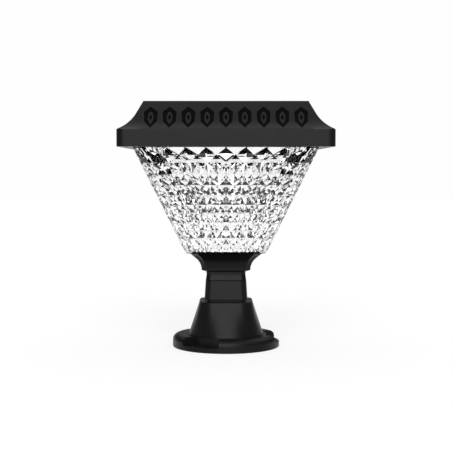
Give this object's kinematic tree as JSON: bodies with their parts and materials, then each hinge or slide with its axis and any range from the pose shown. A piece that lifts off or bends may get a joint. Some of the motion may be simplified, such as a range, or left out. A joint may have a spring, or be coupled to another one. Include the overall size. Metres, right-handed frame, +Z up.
{
  "type": "solar post light",
  "caption": "Square solar lamp for the top of a pillar: flared cap with a solar panel, clear faceted shade, flared holder, square neck and a round screw-down base.",
  "frame": {"origin": "centre of the base's underside, where it stands on the pillar", "axes": "+Z up, -Y toward the pictured front, +X to its right, mode button at +Y"},
  "size_m": [0.25, 0.25, 0.3],
  "materials": {
    "black_plastic": "satin moulded",
    "clear_plastic": "clear, polished facets",
    "screw_steel": "zinc plated",
    "seal_rubber": "soft",
    "led_board_white": "white solder mask on an aluminium core",
    "led_package": "phosphor lens",
    "board_green": "solder mask",
    "chip_black": "moulded",
    "ferrite": "matt",
    "can_aluminium": "drawn can",
    "connector_white": "moulded",
    "cell_wrap": null,
    "contact_nickel": "nickel plated",
    "panel_back": "laminate",
    "silicon": "dark blue, anti-reflection coated",
    "panel_glass": "clear, smooth",
    "lead_red": "insulation",
    "lead_black": "insulation",
    "switch_black": "moulded",
    "stem_white": "moulded",
    "button_rubber": "soft touch"
  },
  "bodies": {
    "lamp": {"base": "black_plastic", "base_screws": "screw_steel", "neck_sleeve": "black_plastic", "neck_screws": "screw_steel", "shade_holder": "black_plastic", "holder_gasket": "seal_rubber", "lamp_shade": "clear_plastic", "shade_screws": "screw_steel", "shade_gasket": "seal_rubber", "cap_tray": "black_plastic", "tray_screws": "screw_steel", "cap_housing": "black_plastic", "led_plate": "black_plastic", "led_board": "led_board_white", "led_chips": "led_package", "led_screws": "screw_steel", "control_board": "board_green", "control_screws": "screw_steel", "control_spacers": "connector_white", "control_chip": "chip_black", "charge_inductor": "ferrite", "storage_capacitor": "can_aluminium", "wire_connectors": "connector_white", "battery_holder": "black_plastic", "battery_cell": "cell_wrap", "battery_contacts": "contact_nickel", "panel_backing": "panel_back", "solar_cells": "silicon", "panel_cover": "panel_glass", "lead_grommet": "seal_rubber", "button_seal": "seal_rubber", "switch_body": "switch_black", "switch_board": "board_green", "switch_screws": "screw_steel", "battery_lead_black": "lead_black", "battery_lead_red": "lead_red", "led_lead_black": "lead_black", "led_lead_red": "lead_red", "panel_lead_black": "lead_black", "panel_lead_red": "lead_red", "switch_lead_black": "lead_black", "switch_lead_red": "lead_red"},
    "button": {"mode_button": "button_rubber", "switch_stem": "stem_white"}
  },
  "joints": [
    {"name": "mode_button_press", "type": "slide", "parent": "lamp", "child": "button", "axis": [0, 0, 1], "range_m": [0, 0.0012], "stiffness_N_per_m": 500, "springref_m": -0.002}
  ]
}
